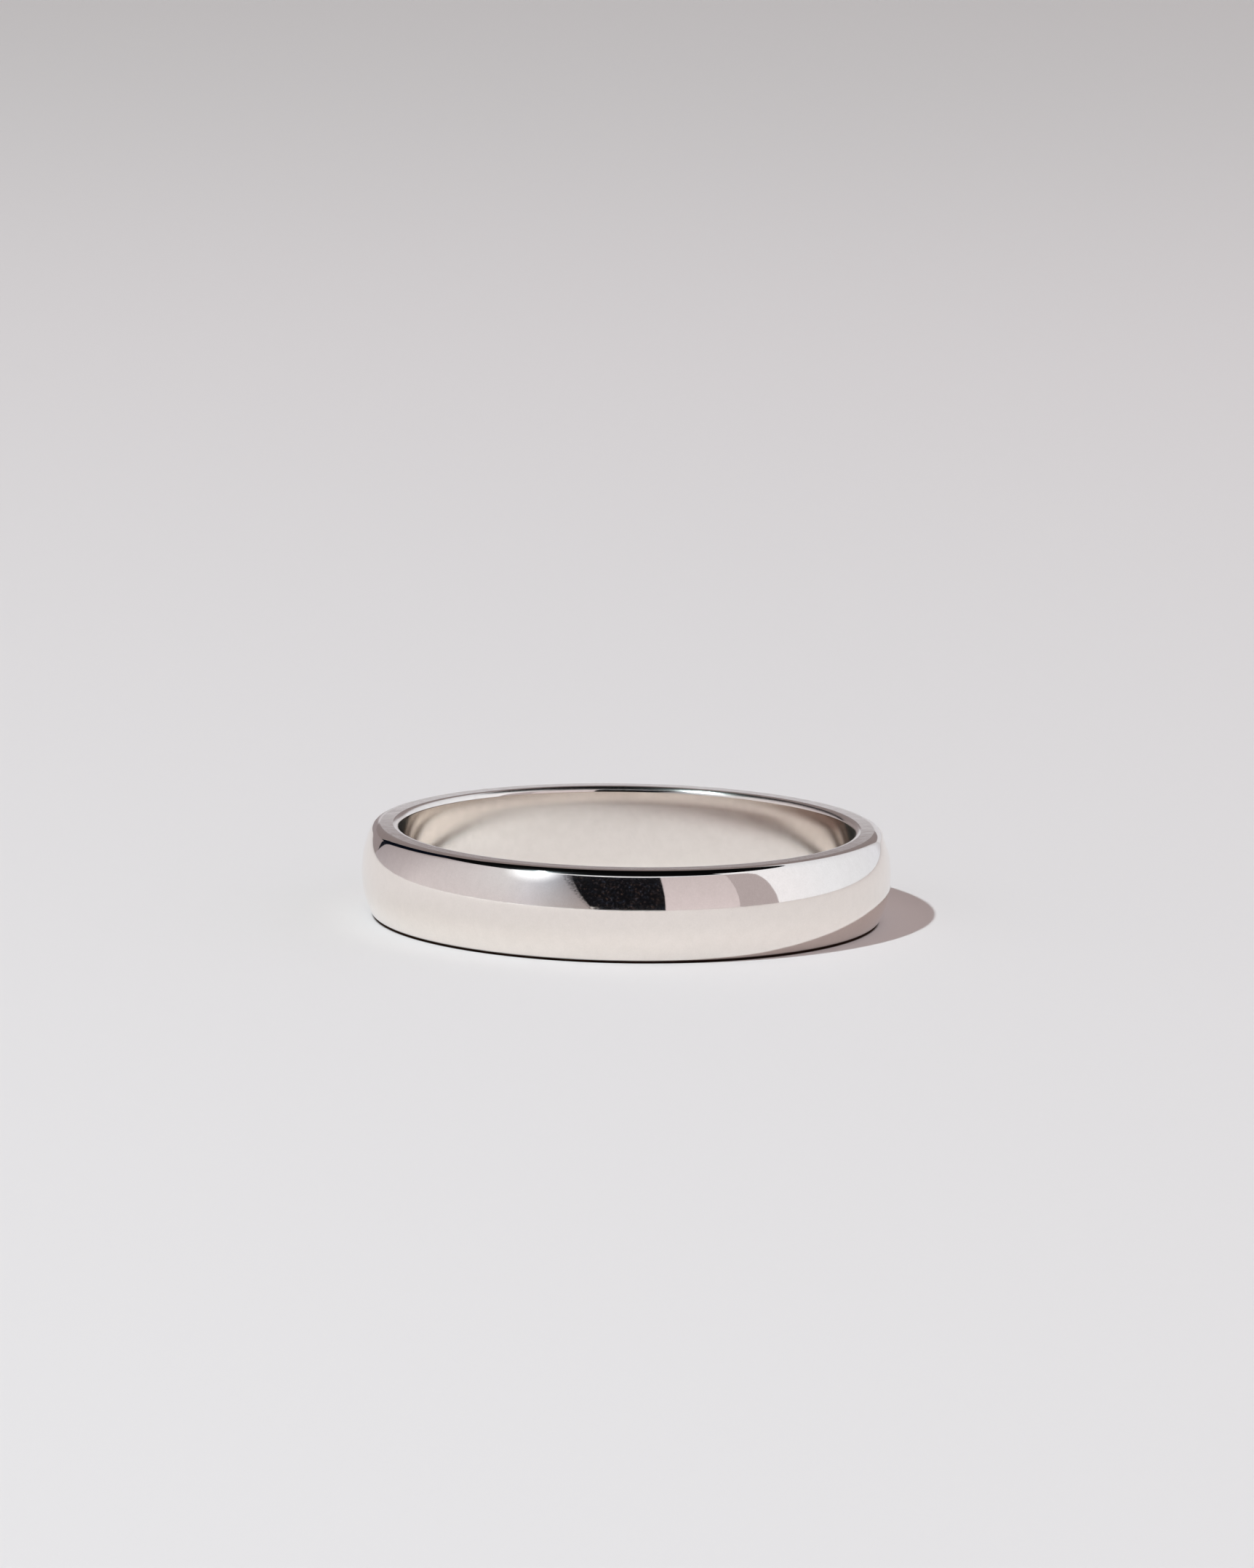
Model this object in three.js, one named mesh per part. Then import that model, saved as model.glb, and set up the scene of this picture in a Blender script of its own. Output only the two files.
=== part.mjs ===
// A plain wedding band: one solid ring of polished white gold with a D-shaped cross-section.
// The outside is a shallow dome, the finger hole is straight, and the two side faces are flat.
// Millimetres, +Z up along the finger hole, origin at the middle of the lower side face.

import * as THREE from 'three';

// Driving dimensions, in millimetres.
const fingerDiameter = 17.3;    // the straight hole that the finger goes through
const wallThickness = 1.4;      // from the finger hole to the top of the dome
const bandWidth = 3.5;          // from side face to side face, along the finger
const domeRadius = 3.6;         // of the dome's curve across the band
const domeEdgeRadius = 0.36;    // softened edge between the dome and a side face
const holeEdgeRadius = 0.22;    // softened edge between the finger hole and a side face

// Flat facets that stand for each round stretch.
const facetsAround = 96;
const facetsOnHalfDome = 8;
const facetsOnDomeEdge = 5;
const facetsOnHoleEdge = 3;

const quarterTurn = Math.PI / 2;

// Points of an arc in the (radius, height) plane, with the angle measured from outwards to up.
function arc(centre, radius, startAngle, endAngle, facets) {
  const points = [];
  for (let step = 0; step <= facets; step += 1) {
    const angle = startAngle + (endAngle - startAngle) * step / facets;
    points.push(new THREE.Vector2(
      centre.x + radius * Math.cos(angle),
      centre.y + radius * Math.sin(angle),
    ));
  }
  return points;
}

// The upper half of the cross-section, from the top of the dome to the finger hole's wall.
// The dome's edge arc touches the dome from inside and the side face from below.
function upperHalfProfile() {
  const middle = bandWidth / 2;
  const holeRadius = fingerDiameter / 2;
  const domeCentre = new THREE.Vector2(holeRadius + wallThickness - domeRadius, middle);

  const edgeRise = middle - domeEdgeRadius;
  const edgeDistance = domeRadius - domeEdgeRadius;
  const edgeReach = Math.sqrt(edgeDistance ** 2 - edgeRise ** 2);
  const domeEndAngle = Math.atan2(edgeRise, edgeReach);
  const domeEdgeCentre = new THREE.Vector2(domeCentre.x + edgeReach, middle + edgeRise);

  const holeEdgeCentre = new THREE.Vector2(holeRadius + holeEdgeRadius, bandWidth - holeEdgeRadius);

  const dome = arc(domeCentre, domeRadius, 0, domeEndAngle, facetsOnHalfDome);
  const domeEdge = arc(domeEdgeCentre, domeEdgeRadius, domeEndAngle, quarterTurn, facetsOnDomeEdge);
  const holeEdge = arc(holeEdgeCentre, holeEdgeRadius, quarterTurn, Math.PI, facetsOnHoleEdge);
  return [...dome, ...domeEdge.slice(1), ...holeEdge];
}

// The whole cross-section: the lower half mirrors the upper one, and the last point meets the first.
function bandProfile() {
  const upper = upperHalfProfile();
  const lower = upper.slice(1).reverse().map((point) => new THREE.Vector2(point.x, bandWidth - point.y));
  return [...lower, ...upper, lower[0].clone()];
}

// A lathe turns its profile about Y, so the band is then tipped up to stand on Z.
function makeBand() {
  const geometry = new THREE.LatheGeometry(bandProfile(), facetsAround);
  geometry.rotateX(quarterTurn);
  const whiteGold = new THREE.MeshStandardMaterial({ color: 0xefe6df, roughness: 0.06, metalness: 1 });
  const band = new THREE.Mesh(geometry, whiteGold);
  band.name = 'band';
  return band;
}

const weddingBand = new THREE.Group();
weddingBand.add(makeBand());

export default weddingBand;
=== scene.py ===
"""A plain polished wedding band, lying on a pale sweep in a small studio.

Everything is in metres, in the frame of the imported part: +Z runs along the finger hole, and the
band lies on its lower side face at Z = 0. Directions in the studio are an azimuth, measured from the
camera's side (-Y) towards +X, and a height above the horizon, both in degrees.
"""

import math
import bpy
import numpy as np
from mathutils import Matrix, Vector


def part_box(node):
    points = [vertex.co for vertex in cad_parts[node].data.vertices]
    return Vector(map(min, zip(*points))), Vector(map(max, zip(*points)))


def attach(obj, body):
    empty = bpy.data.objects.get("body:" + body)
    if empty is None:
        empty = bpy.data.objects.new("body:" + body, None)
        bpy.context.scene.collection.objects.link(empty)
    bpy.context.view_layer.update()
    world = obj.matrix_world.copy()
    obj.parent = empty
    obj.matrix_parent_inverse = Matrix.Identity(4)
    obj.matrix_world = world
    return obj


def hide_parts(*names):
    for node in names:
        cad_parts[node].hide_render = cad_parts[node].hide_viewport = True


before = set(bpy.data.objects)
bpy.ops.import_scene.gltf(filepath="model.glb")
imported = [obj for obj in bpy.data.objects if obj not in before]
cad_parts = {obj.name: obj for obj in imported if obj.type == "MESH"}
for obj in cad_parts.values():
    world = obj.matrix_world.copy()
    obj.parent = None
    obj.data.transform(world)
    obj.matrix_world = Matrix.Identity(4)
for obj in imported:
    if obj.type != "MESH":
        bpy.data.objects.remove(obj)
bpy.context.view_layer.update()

# The band's sizes. The outer radius and width come from the frame, and the rest match its solid.
BAND_LOW, BAND_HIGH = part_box("band")
OUTER_RADIUS = BAND_HIGH.x
BAND_WIDTH = BAND_HIGH.z - BAND_LOW.z
HOLE_RADIUS = 0.00865
DOME_RADIUS = 0.0036
DOME_EDGE_RADIUS = 0.00036
HOLE_EDGE_RADIUS = 0.00022

# The arc that softens the dome's edge touches the dome's arc from inside and the side face from
# below. Its centre is this far above mid height and this far out from the centre of the dome's arc.
DOME_EDGE_RISE = BAND_WIDTH / 2 - DOME_EDGE_RADIUS
DOME_EDGE_REACH = math.sqrt((DOME_RADIUS - DOME_EDGE_RADIUS) ** 2 - DOME_EDGE_RISE ** 2)
FACE_RADIUS = OUTER_RADIUS - DOME_RADIUS + DOME_EDGE_REACH      # outer edge of a flat side face

# Steps of the band's grid, once around and along each stretch of half the cross-section.
STEPS_AROUND = 720
HALF_DOME_STEPS = 28
DOME_EDGE_STEPS = 12
SIDE_FACE_STEPS = 8
HOLE_EDGE_STEPS = 10
HALF_WALL_STEPS = 8

# The metal's colours, and its roughness: the polish's own, and what each kind of wear adds to it.
GOLD_TINT = (0.98, 0.92, 0.865)
WORN_TINT = (0.90, 0.84, 0.785)
POLISH_ROUGHNESS = 0.035
HOLE_WALL_ROUGHNESS = 0.055
RUBBED_EDGE_ROUGHNESS = 0.16
WORN_PATCH_ROUGHNESS = 0.02


# --- Small helpers -------------------------------------------------------------------------------

def linear(red, green, blue):
    """A display colour from 0 to 255 as linear light, by the sRGB curve."""
    shown = np.array([red, green, blue]) / 255.0
    light = np.where(shown <= 0.04045, shown / 12.92, ((shown + 0.055) / 1.055) ** 2.4)
    return tuple(float(channel) for channel in light)


def mirrored(red, green, blue):
    """The light that a card gives off, so that gold mirrors it in this display colour."""
    return tuple(light / tint for light, tint in zip(linear(red, green, blue), GOLD_TINT))


def direction(azimuth, height):
    """Unit vector towards an azimuth from the camera's side and a height above the horizon."""
    turn, rise = math.radians(azimuth), math.radians(height)
    return Vector((math.cos(rise) * math.sin(turn), -math.cos(rise) * math.cos(turn),
                   math.sin(rise)))


def past_wall(start, end):
    """A span of radii, from its distances outwards from the wall of the finger hole."""
    return HOLE_RADIUS + start, HOLE_RADIUS + end


def grid_mesh(name, points, uv=None, wrap_around=False, wrap_across=False):
    """A mesh of four-sided faces over a grid of points, shape (around, across, 3).

    Vertex (i, j) is number i * across + j, and each face joins (i, j), (i + 1, j), (i + 1, j + 1)
    and (i, j + 1). A wrapped direction joins its last row back to its first, so nothing is doubled
    there.
    """
    around, across = points.shape[:2]
    rows = np.arange(around if wrap_around else around - 1)
    columns = np.arange(across if wrap_across else across - 1)
    i, j = np.meshgrid(rows, columns, indexing="ij")
    next_i, next_j = (i + 1) % around, (j + 1) % across
    corners = np.stack([i * across + j, next_i * across + j,
                        next_i * across + next_j, i * across + next_j], -1)
    corners = corners.reshape(-1, 4).astype(np.int32)
    mesh = bpy.data.meshes.new(name)
    mesh.vertices.add(around * across)
    mesh.vertices.foreach_set("co", points.reshape(-1).astype(np.float32))
    mesh.loops.add(corners.size)
    mesh.loops.foreach_set("vertex_index", corners.reshape(-1))
    mesh.polygons.add(len(corners))
    mesh.polygons.foreach_set("loop_start", np.arange(0, corners.size, 4, dtype=np.int32))
    mesh.polygons.foreach_set("loop_total", np.full(len(corners), 4, np.int32))
    mesh.update(calc_edges=True)
    mesh.shade_smooth()
    if uv is not None:
        steps = np.stack([np.stack([i, j], -1), np.stack([i + 1, j], -1),
                          np.stack([i + 1, j + 1], -1), np.stack([i, j + 1], -1)], -2)
        steps = steps.reshape(-1, 2)
        layer = mesh.uv_layers.new(name="surface")
        layer.data.foreach_set("uv", uv(steps[:, 0], steps[:, 1]).reshape(-1).astype(np.float32))
    mesh.validate()
    thing = bpy.data.objects.new(name, mesh)
    bpy.context.scene.collection.objects.link(thing)
    return thing


class Shader:
    """A material's or world's node tree, with short calls for making and joining nodes.

    Where a call takes a number or a colour, it also takes an output of another node.
    """

    def __init__(self, owner):
        owner.use_nodes = True
        self.tree = owner.node_tree
        self.tree.nodes.clear()

    def node(self, kind, inputs=None, **settings):
        """Makes a node. An input is another node's output, which is linked, or a plain value."""
        made = self.tree.nodes.new(kind)
        for key, value in settings.items():
            setattr(made, key, value)
        for key, value in (inputs or {}).items():
            if isinstance(value, bpy.types.NodeSocket):
                self.tree.links.new(value, made.inputs[key])
            else:
                made.inputs[key].default_value = value
        return made

    def math(self, operation, first, second=0.0, clamp=False):
        made = self.node("ShaderNodeMath", {0: first, 1: second}, operation=operation,
                         use_clamp=clamp)
        return made.outputs[0]

    def multiply(self, first, second):
        return self.math("MULTIPLY", first, second)

    def add(self, first, *others):
        total = first
        for other in others:
            total = self.math("ADD", total, other)
        return total

    def length(self, x, y):
        """The square root of x squared plus y squared."""
        return self.math("SQRT", self.add(self.multiply(x, x), self.multiply(y, y)))

    def split(self, vector):
        """A vector's x, y and z."""
        return self.node("ShaderNodeSeparateXYZ", {0: vector}).outputs

    def remap(self, value, span, result=(0.0, 1.0), smooth=False):
        """Goes from one result to the other as the value crosses the span, and no further."""
        inputs = {"Value": value, "From Min": span[0], "From Max": span[1],
                  "To Min": result[0], "To Max": result[1]}
        kind = "SMOOTHSTEP" if smooth else "LINEAR"
        return self.node("ShaderNodeMapRange", inputs, interpolation_type=kind).outputs["Result"]

    def plateau(self, value, rise, fall):
        """Goes smoothly from 0 to 1 across the span called rise, and back to 0 across fall."""
        return self.multiply(self.remap(value, rise, smooth=True),
                             self.remap(value, fall, (1.0, 0.0), smooth=True))

    def mix(self, factor, first, second):
        """A colour that goes from the first to the second as the factor goes from 0 to 1."""
        first, second = (colour if isinstance(colour, bpy.types.NodeSocket) else (*colour, 1)
                         for colour in (first, second))
        made = self.node("ShaderNodeMix", {"Factor": factor, 6: first, 7: second},
                         data_type="RGBA")
        return made.outputs[2]

    def ramp(self, value, stops):
        """A colour that changes along a value: stops are (place, colour) in order."""
        made = self.node("ShaderNodeValToRGB", {"Fac": value})
        elements = made.color_ramp.elements
        while len(elements) < len(stops):
            elements.new(0.5)
        while len(elements) > len(stops):
            elements.remove(elements[-1])
        for element, (place, colour) in zip(elements, stops):
            element.position = place
            element.color = (*colour, 1)
        return made.outputs["Color"]

    def noise(self, vector, scale, detail, roughness):
        inputs = {"Vector": vector, "Scale": scale, "Detail": detail, "Roughness": roughness}
        return self.node("ShaderNodeTexNoise", inputs).outputs["Fac"]

    def bump(self, height, strength, distance):
        inputs = {"Strength": strength, "Distance": distance, "Height": height}
        return self.node("ShaderNodeBump", inputs).outputs[0]


# --- The band ------------------------------------------------------------------------------------

def arc(centre, radius, start, end, steps):
    """Points centre + radius * (cos a, sin a) in the (radius, height) plane, for a = start to end."""
    angles = np.linspace(start, end, steps + 1)
    return np.stack([centre[0] + radius * np.cos(angles), centre[1] + radius * np.sin(angles)], -1)


def band_profile():
    """The band's cross-section as (radius, height) points, from the top of the dome round and back.

    The upper half runs along the dome's arc, over the arc that softens its edge, across the flat
    side face, over the arc that softens the finger hole's edge, and down the straight wall to mid
    height. The lower half is the upper one mirrored about mid height.
    """
    middle = BAND_WIDTH / 2
    dome_centre = (OUTER_RADIUS - DOME_RADIUS, middle)
    dome_edge_centre = (FACE_RADIUS, middle + DOME_EDGE_RISE)
    hole_edge_centre = (HOLE_RADIUS + HOLE_EDGE_RADIUS, BAND_WIDTH - HOLE_EDGE_RADIUS)
    dome_end = math.atan2(DOME_EDGE_RISE, DOME_EDGE_REACH)
    quarter = math.pi / 2

    dome = arc(dome_centre, DOME_RADIUS, 0.0, dome_end, HALF_DOME_STEPS)
    dome_edge = arc(dome_edge_centre, DOME_EDGE_RADIUS, dome_end, quarter, DOME_EDGE_STEPS)
    # Steps bunch towards both ends, so that shading stays flat right up to the softened edges.
    share = (1 - np.cos(np.linspace(0, math.pi, SIDE_FACE_STEPS + 1))) / 2
    face_radius = FACE_RADIUS + (hole_edge_centre[0] - FACE_RADIUS) * share
    side_face = np.stack([face_radius, np.full(len(share), BAND_WIDTH)], -1)
    hole_edge = arc(hole_edge_centre, HOLE_EDGE_RADIUS, quarter, math.pi, HOLE_EDGE_STEPS)
    # On the wall they shorten towards mid height.
    share = np.linspace(0, 1, HALF_WALL_STEPS + 1) ** 0.5
    wall_height = hole_edge_centre[1] + (middle - hole_edge_centre[1]) * share
    hole_wall = np.stack([np.full(len(share), HOLE_RADIUS), wall_height], -1)

    upper = np.concatenate([dome, dome_edge[1:], side_face[1:], hole_edge[1:], hole_wall[1:]])
    lower = upper[1:-1][::-1].copy()
    lower[:, 1] = BAND_WIDTH - lower[:, 1]
    return np.concatenate([upper, lower])


def make_band():
    """The band's skin: the cross-section turned about Z.

    A point of the profile (r, z) at turn t is (r cos t, r sin t, z). The grid wraps in both
    directions, so the skin is one closed surface with no seam.
    """
    profile = band_profile()
    turn = np.linspace(0, 2 * math.pi, STEPS_AROUND, endpoint=False)[:, None]
    radius, height = profile[None, :, 0], profile[None, :, 1]
    points = np.stack(np.broadcast_arrays(radius * np.cos(turn), radius * np.sin(turn), height), -1)

    lengths = np.linalg.norm(np.diff(np.concatenate([profile, profile[:1]]), axis=0), axis=1)
    along = np.concatenate([[0], np.cumsum(lengths)])

    def surface(step_around, step_across):
        """u runs once around the band and v once around the cross-section, by its real length."""
        return np.stack([step_around / STEPS_AROUND, along[step_across] / along[-1]], -1)

    return grid_mesh("polished_band", points, surface, wrap_around=True, wrap_across=True)


def polished_white_gold():
    """Mirror-polished white gold.

    Distance from the axis and height give the surface its grain: fine lines left by the buffing
    wheel run around the band, a faint unevenness makes straight reflections slightly ragged, and fine
    specks break them up. The lines also smear reflections across themselves, which shows most on the
    wall of the finger hole, where the wheel reaches less well and the polish is duller. The hole's
    softened edge is rubbed dull by wear, and a weak, rougher coat over everything gives strong
    lights a soft edge.
    """
    material = bpy.data.materials.new("polished_white_gold")
    shader = Shader(material)
    place = shader.node("ShaderNodeTexCoord").outputs["Object"]
    x, y, z = shader.split(place)
    radius = shader.length(x, y)

    # Stretching a noise around the band turns it into lines: it changes quickly with radius and
    # height, and slowly with the direction from the axis, which counts as a circle this large.
    circle = 0.0008
    stretched = shader.node("ShaderNodeCombineXYZ", {
        0: shader.multiply(shader.math("DIVIDE", x, radius), circle),
        1: shader.multiply(shader.math("DIVIDE", y, radius), circle),
        2: shader.add(z, radius)}).outputs[0]
    buffing_lines = shader.noise(stretched, scale=16000.0, detail=3.0, roughness=0.6)
    unevenness = shader.noise(place, scale=1300.0, detail=2.0, roughness=0.5)
    speckle = shader.noise(place, scale=15000.0, detail=3.0, roughness=0.7)
    lines_share, unevenness_share, speckle_share = 0.12, 0.5, 0.12
    relief = shader.add(shader.multiply(buffing_lines, lines_share),
                        shader.multiply(unevenness, unevenness_share),
                        shader.multiply(speckle, speckle_share))
    bump = shader.bump(relief, strength=1.0, distance=0.0000012)

    on_wall = shader.remap(radius, past_wall(0.00004, 0.000104), (1.0, 0.0), smooth=True)
    rubbed = shader.plateau(radius, past_wall(0.00001, 0.00004), past_wall(0.00014, 0.00022))
    patches = shader.noise(place, scale=2600.0, detail=4.0, roughness=0.65)
    worn = shader.remap(patches, (0.35, 0.75))
    roughness = shader.add(POLISH_ROUGHNESS,
                           shader.multiply(on_wall, HOLE_WALL_ROUGHNESS),
                           shader.multiply(rubbed, RUBBED_EDGE_ROUGHNESS),
                           shader.multiply(worn, WORN_PATCH_ROUGHNESS))

    specks = shader.remap(speckle, (0.3, 0.7))
    worn_share, specks_share = 0.5, 0.5
    darker = shader.math("ADD", shader.multiply(worn, worn_share),
                         shader.multiply(specks, specks_share), clamp=True)
    around = shader.node("ShaderNodeTangent", direction_type="RADIAL", axis="Z").outputs[0]
    gold = shader.node("ShaderNodeBsdfPrincipled", {
        "Base Color": shader.mix(darker, GOLD_TINT, WORN_TINT), "Metallic": 1.0,
        "Roughness": roughness, "Normal": bump, "Tangent": around, "Anisotropic": 0.8,
        "Anisotropic Rotation": 0.25, "Coat Weight": 0.2, "Coat Roughness": 0.22})
    shader.node("ShaderNodeOutputMaterial", {"Surface": gold.outputs[0]})
    return material


band = make_band()
band.data.materials.append(polished_white_gold())
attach(band, "root")
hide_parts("band")


# --- The studio ----------------------------------------------------------------------------------

LAMP_DIRECTION = (-50, 51)      # azimuth and height of the hard lamp
CARD_DISTANCE = 0.75
CARD_STEPS_ACROSS = 64
CARD_STEPS_UP = 48
BACK_EDGE = 10.28               # height of the low back card's top, where the back wall begins

PAPER_WHITE = (0.80, 0.72, 0.71)
# Painted shade: the paper's tone some way behind the band.
PAPER_SHADED_BEHIND = (0.755, 0.694, 0.68)
# Painted shade on the paper inside the finger hole.
SHADE_BROWN = (0.36, 0.235, 0.19)
# Painted shade, almost black, on the paper under the band's rounded edges.
CREVICE_SHADE_BROWN = (0.05, 0.026, 0.017)
COOL_SPOT = (64, 70, 84)
WARM_SPOT = (92, 72, 64)


def paper():
    """Matt white paper with a faint tooth, and a gentle painted shade some way behind the band.

    Two brown tones of painted shade go with the band that lies on it. Within the finger hole a
    painted shade reaches in from the wall, and it is deepest on the side towards the hard lamp,
    whose light the wall stops: what stays clear is a circle moved away from the lamp. Under the
    band's rounded edges, where next to no light gets in, painted shade makes the paper almost
    black, and that clears quickly outside and slowly inside.
    """
    material = bpy.data.materials.new("sweep_paper")
    shader = Shader(material)
    place = shader.node("ShaderNodeTexCoord").outputs["Object"]
    across, far = shader.split(place)[:2]
    # Painted shade: the paper darkens gently some way behind the band.
    tone = shader.mix(shader.remap(far, (0.15, 0.33), smooth=True), PAPER_WHITE, PAPER_SHADED_BEHIND)

    radius = shader.length(across, far)
    # Painted shade inside the finger hole, deepest on the side towards the hard lamp.
    lamp = direction(*LAMP_DIRECTION)
    shade_move, shade_depth = 0.0016, 0.85
    shade_radius = shader.length(shader.add(across, shade_move * lamp.x),
                                 shader.add(far, shade_move * lamp.y))
    within = shader.remap(radius, past_wall(0.0, 0.0002), (1.0, 0.0))
    shade = shader.remap(shade_radius, past_wall(-0.0018, 0.0008), (0.0, shade_depth), smooth=True)
    tone = shader.mix(shader.multiply(within, shade), tone, SHADE_BROWN)

    # Painted shade, almost black, on the paper under the band's rounded edges, inside and outside.
    crevice_shade = shader.plateau(radius, past_wall(-0.0007, -0.0001),
                             (FACE_RADIUS + 0.00018, FACE_RADIUS + 0.0003))
    tone = shader.mix(crevice_shade, tone, CREVICE_SHADE_BROWN)

    tooth = shader.noise(place, scale=2200.0, detail=3.0, roughness=0.6)
    bump = shader.bump(tooth, strength=0.15, distance=0.00003)
    sheet = shader.node("ShaderNodeBsdfDiffuse", {"Color": tone, "Normal": bump})
    shader.node("ShaderNodeOutputMaterial", {"Surface": sheet.outputs[0]})
    return material


def make_sweep():
    """The paper that the band lies on: flat, then curving up behind it in a quarter circle.

    Along the sweep a point goes from the front edge to the start of the curve, round the quarter
    circle and up the back; across, it runs straight from side to side.
    """
    half_width, front, bend_start, bend_radius, top = 1.6, -1.6, 0.75, 0.45, 1.3
    flat_points, bend_points = 12, 24
    flat = np.stack([np.linspace(front, bend_start, flat_points), np.zeros(flat_points)], -1)
    angles = np.linspace(0, math.pi / 2, bend_points)[1:]
    bend = np.stack([bend_start + bend_radius * np.sin(angles),
                     bend_radius * (1 - np.cos(angles))], -1)
    back = np.array([[bend_start + bend_radius, top]])
    line = np.concatenate([flat, bend, back])
    sides = np.array([-half_width, half_width])[:, None]
    points = np.stack(np.broadcast_arrays(sides, line[:, 0], line[:, 1]), -1)
    sweep = grid_mesh("paper_sweep", points)
    sweep.data.materials.append(paper())


def mottled_tone(shader, place, tone):
    """A tone with small dim spots, taller than they are wide, some cool and some warm."""
    squashed = shader.node("ShaderNodeVectorMath", {0: place, 1: (1.0, 1.0, 0.35)},
                           operation="MULTIPLY").outputs[0]
    spots = shader.noise(squashed, scale=75.0, detail=5.0, roughness=0.75)
    warmth = shader.noise(place, scale=22.0, detail=2.0, roughness=0.5)
    spot_tone = shader.mix(shader.remap(warmth, (0.42, 0.58)),
                           mirrored(*COOL_SPOT), mirrored(*WARM_SPOT))
    return shader.mix(shader.remap(spots, (0.53, 0.74)), tone, spot_tone)


def round_cover(shader, along, up):
    """How solid a card is that thins out from its middle: 1 there, and 0 round its sides."""
    aside = shader.multiply(shader.math("SUBTRACT", along, 0.5), 2.0)
    above = shader.multiply(shader.math("SUBTRACT", up, 0.5), 2.0)
    return shader.remap(shader.length(aside, above), (0.0, 1.0), (1.0, 0.0), smooth=True)


def ragged_cover(shader, place, along):
    """How solid a card is whose left side breaks up: a noise moves the place where it begins."""
    ragged = shader.noise(place, scale=60.0, detail=5.0, roughness=0.75)
    moved = shader.add(along, shader.multiply(shader.math("SUBTRACT", ragged, 0.5), 0.5))
    return shader.remap(moved, (-0.02, 0.16), smooth=True)


def glow(name, low, high, strength, mottled, fade):
    """A card's light, of a given strength.

    low and high are the stops of its colour from left to right at its foot and at its top, and the
    colour blends between the two with height. A mottled card also has small dim spots. fade "round"
    lets the card thin out to nothing from its middle, and "left" breaks up its left side.
    """
    material = bpy.data.materials.new(name)
    shader = Shader(material)
    coords = shader.node("ShaderNodeTexCoord")
    place = coords.outputs["Object"]
    along, up = shader.split(coords.outputs["UV"])[:2]
    tone = shader.mix(up, shader.ramp(along, low), shader.ramp(along, high))
    if mottled:
        tone = mottled_tone(shader, place, tone)
    shown = shader.node("ShaderNodeEmission", {"Color": tone, "Strength": strength}).outputs[0]
    if fade:
        cover = {"round": lambda: round_cover(shader, along, up),
                 "left": lambda: ragged_cover(shader, place, along)}[fade]()
        clear = shader.node("ShaderNodeBsdfTransparent").outputs[0]
        shown = shader.node("ShaderNodeMixShader", {0: cover, 1: clear, 2: shown}).outputs[0]
    shader.node("ShaderNodeOutputMaterial", {"Surface": shown})
    return material


def make_card(name, sides, rows, low, high=None, lean=(0, 0), corner=(0, 0), nearer=0.0,
              strength=1.0, mottled=False, fade=None):
    """A card standing on part of an upright cylinder around the band, which only the metal shows.

    sides are the azimuths of its left and right side at the foot, and at the top each has moved on
    by its lean. rows are the heights of its foot and top. Across a row the azimuth blends from the
    left side to the right one, and the row's height is the distance times the tangent of its angle
    above the horizon. corner = (azimuth, height) rounds the top right corner with a quarter of an
    ellipse. low and high are its tones at the foot and the top, as (azimuth at the foot, display
    colour). A nearer card hides the ones behind it.
    """
    left, right = sides
    foot, top = rows
    distance = CARD_DISTANCE - nearer
    rise = np.linspace(0, 1, CARD_STEPS_UP + 1)[None, :]
    height = foot + (top - foot) * rise
    left_side = left + lean[0] * rise
    right_side = right + lean[1] * rise
    if corner[1]:
        into = np.clip((height - (top - corner[1])) / corner[1], 0, 1)
        right_side = right_side - corner[0] * (1 - np.sqrt(1 - into ** 2))
    share = np.linspace(0, 1, CARD_STEPS_ACROSS + 1)[:, None]
    turn = np.radians(left_side + (right_side - left_side) * share)
    up = distance * np.tan(np.radians(height))
    along, towards = distance * np.sin(turn), -distance * np.cos(turn)
    points = np.stack(np.broadcast_arrays(along, towards, up), -1)

    def surface(step_around, step_across):
        """u runs from the left side to the right one and v from the foot to the top."""
        return np.stack([step_around / CARD_STEPS_ACROSS, step_across / CARD_STEPS_UP], -1)

    def stops(tones):
        """Each tone's place as a share of the card's width, and its light."""
        return [((azimuth - left) / (right - left), mirrored(*tone)) for azimuth, tone in tones]

    card = grid_mesh(name, points, surface)
    card.data.materials.append(glow(name, stops(low), stops(high or low), strength, mottled, fade))
    card.visible_camera = False
    card.visible_shadow = False


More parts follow.
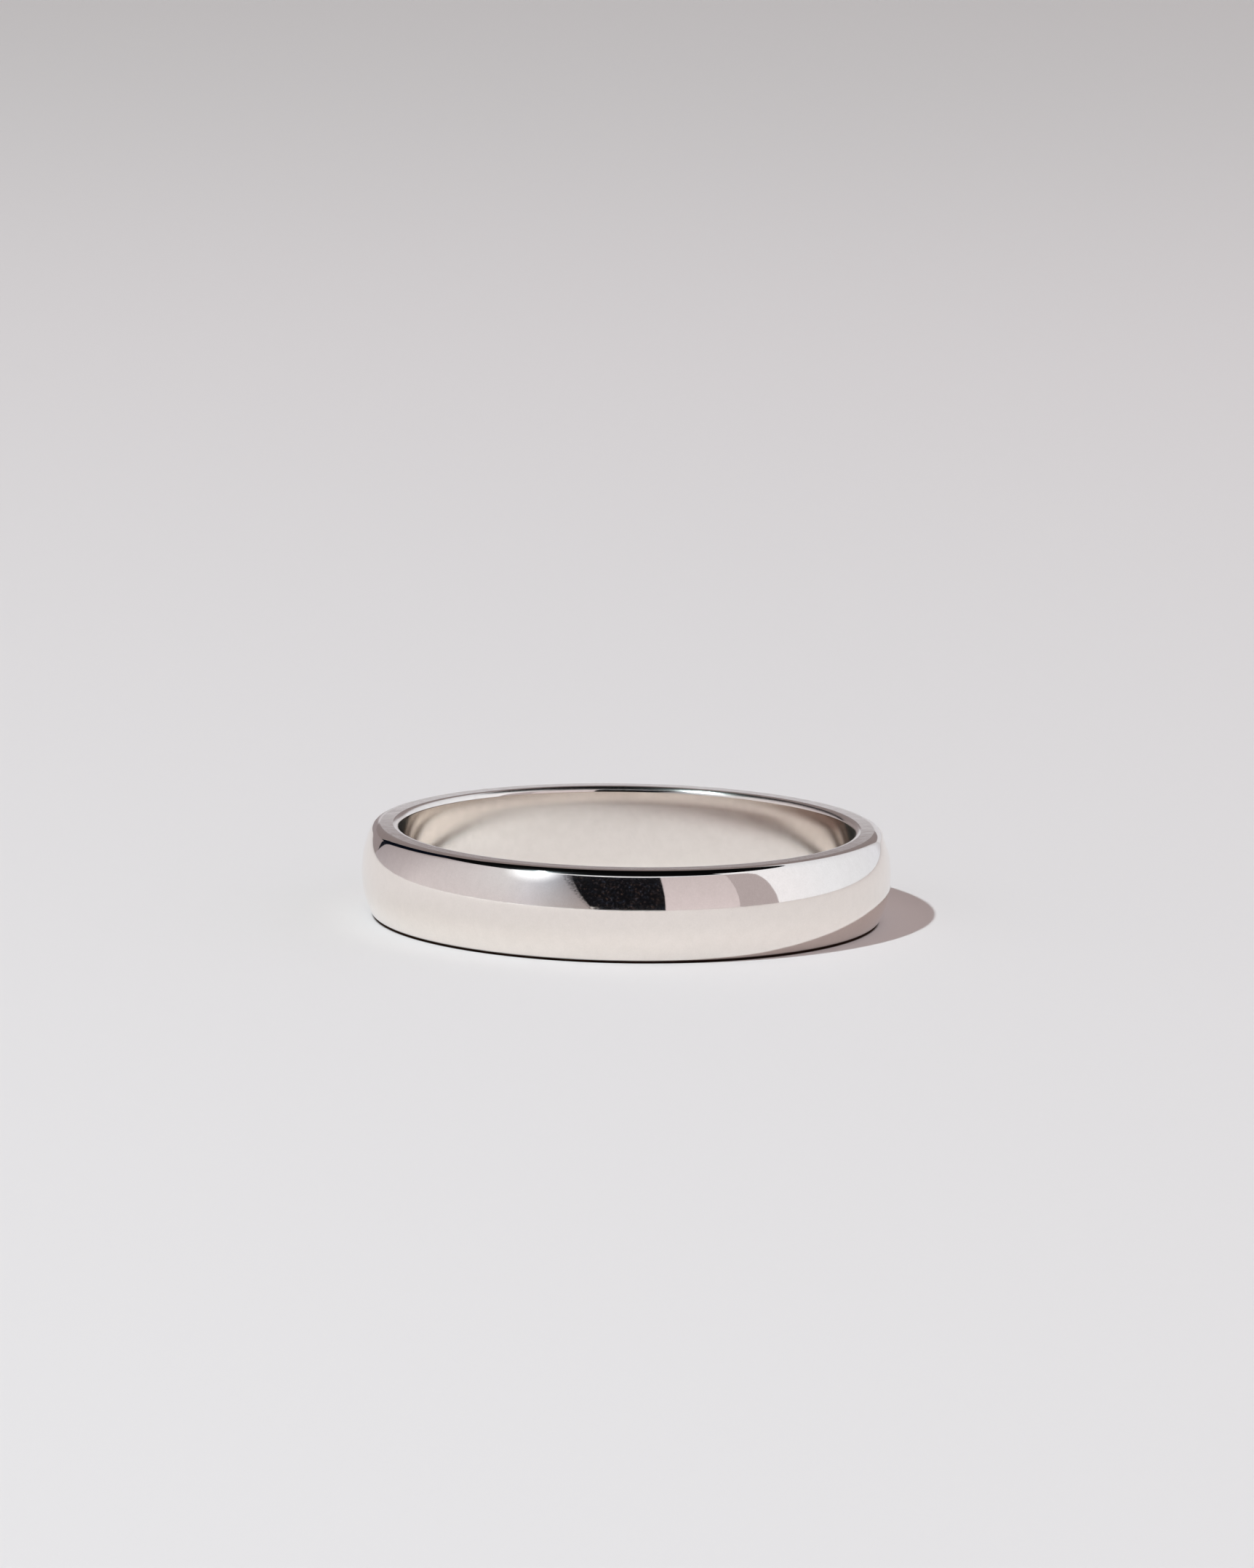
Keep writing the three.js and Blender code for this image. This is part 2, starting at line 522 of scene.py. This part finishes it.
def make_cards():
    """The reflectors and dark cards around the band."""
    make_card("left_reflector", sides=(-144, -14), rows=(0, 41), lean=(34, -14),
              low=[(-144, (166, 155, 155)), (-120, (188, 176, 175)), (-104, (209, 197, 195)),
                   (-55, (210, 200, 198)), (-42, (204, 196, 197)), (-30, (181, 172, 170)),
                   (-14, (160, 148, 144))],
              high=[(-144, (140, 128, 125)), (-118, (176, 166, 166)), (-80, (208, 201, 200)),
                    (-60, (216, 213, 212)), (-45, (214, 213, 216)), (-32, (190, 192, 199)),
                    (-14, (120, 118, 122))])
    make_card("left_gap", sides=(-146, -100), rows=(1.5, 46), nearer=-0.02,
              low=[(-146, (6, 9, 18))])
    make_card("lamp_bloom", sides=(-65, -29), rows=(23, 53), nearer=0.03,
              low=[(-65, (255, 255, 255))], strength=1.6, fade="round")
    make_card("dark_flag", sides=(-15, 17), rows=(0, 39.3), lean=(-18, 0), corner=(4, 8),
              nearer=0.02, low=[(-15, (15, 15, 17)), (17, (14, 14, 16))], mottled=True, fade="left")
    make_card("near_right_reflector", sides=(17, 52), rows=(0, 41),
              low=[(17, (215, 200, 198))], high=[(17, (200, 186, 184))])
    make_card("shaded_right_reflector", sides=(50, 69), rows=(0, 38), lean=(0, -3), corner=(8, 16),
              nearer=0.02, low=[(50, (177, 163, 161))])
    make_card("far_right_reflector", sides=(52, 156), rows=(0, 52),
              low=[(52, (242, 237, 237)), (75, (241, 236, 236)), (100, (234, 232, 233)),
                   (125, (226, 224, 225)), (148, (221, 218, 220)), (156, (190, 183, 182))])
    make_card("top_strip", sides=(-62, 52), rows=(39.8, 43), nearer=0.01,
              low=[(-62, (236, 234, 235))])
    make_card("low_back", sides=(150, 218), rows=(0, BACK_EDGE),
              low=[(150, (214, 208, 207)), (183, (207, 200, 199)), (187, (150, 137, 135)),
                   (218, (146, 133, 131))])
    make_card("back_wall", sides=(150, 213), rows=(BACK_EDGE, 52), nearer=-0.01,
              low=[(150, (137, 124, 121))], high=[(150, (128, 115, 112))])


def make_lamp(name, towards, distance, radius, colour, power):
    """A round lamp that faces the band, at a distance from it along a unit vector."""
    light = bpy.data.lights.new(name, "AREA")
    light.shape = "DISK"
    light.size = 2 * radius
    light.color = colour
    light.energy = power
    lamp = bpy.data.objects.new(name, light)
    lamp.location = towards * distance
    lamp.rotation_euler = towards.to_track_quat("Z", "Y").to_euler()
    bpy.context.scene.collection.objects.link(lamp)
    return lamp


def make_lamps():
    """A small hard lamp, high on the left and a little in front, and a wide soft one overhead.

    The hard one casts the crisp shadow. The soft one lights the paper, and the metal doesn't show
    it.
    """
    make_lamp("key_lamp", direction(*LAMP_DIRECTION), distance=0.9, radius=0.0155,
              colour=(0.766, 0.953, 1.0), power=6.46)
    soft_fill = make_lamp("soft_fill", Vector((0, 0, 1)), distance=1.2, radius=0.6,
                          colour=(1.0, 0.79, 0.69), power=2.8)
    soft_fill.visible_glossy = False


def make_world():
    """A dark room, which is pale below a line 2 to 4 degrees above the horizon."""
    line = (0.035, 0.07)            # sines of those two heights
    pale_level, dark_level = 0.7, 0.002
    world = bpy.data.worlds.new("studio_room")
    bpy.context.scene.world = world
    shader = Shader(world)
    up = shader.split(shader.node("ShaderNodeTexCoord").outputs["Generated"])[2]
    level = shader.remap(up, line, (pale_level, dark_level), smooth=True)
    light = shader.node("ShaderNodeBackground", {"Color": (1.0, 0.985, 0.99, 1),
                                                 "Strength": level})
    shader.node("ShaderNodeOutputWorld", {"Surface": light.outputs[0]})


def make_camera():
    """A long lens from the front, looking slightly down and rolled a little.

    Its view axis passes beside the origin by a shift to the right and a shift up, so that the band
    sits below the middle of the picture.
    """
    look_down, roll = math.radians(9.80), math.radians(0.97)
    distance, shift_right, shift_up = 0.404, 0.000058, 0.005024
    forward = Vector((0, math.cos(look_down), -math.sin(look_down)))
    level_right = Vector((1, 0, 0))
    level_up = Vector((0, math.sin(look_down), math.cos(look_down)))
    right = math.cos(roll) * level_right + math.sin(roll) * level_up
    up = math.cos(roll) * level_up - math.sin(roll) * level_right
    place = shift_up * up + shift_right * right - distance * forward
    lens = bpy.data.cameras.new("camera")
    lens.lens = 244.05
    lens.sensor_width = 36.0
    lens.clip_start = 0.01
    lens.clip_end = 10.0
    camera = bpy.data.objects.new("camera", lens)
    axes = Matrix((right, up, -forward)).transposed().to_4x4()
    camera.matrix_world = Matrix.Translation(place) @ axes
    bpy.context.scene.collection.objects.link(camera)
    bpy.context.scene.camera = camera


make_sweep()
make_cards()
make_lamps()
make_world()
make_camera()
bpy.context.scene.view_settings.view_transform = "Standard"
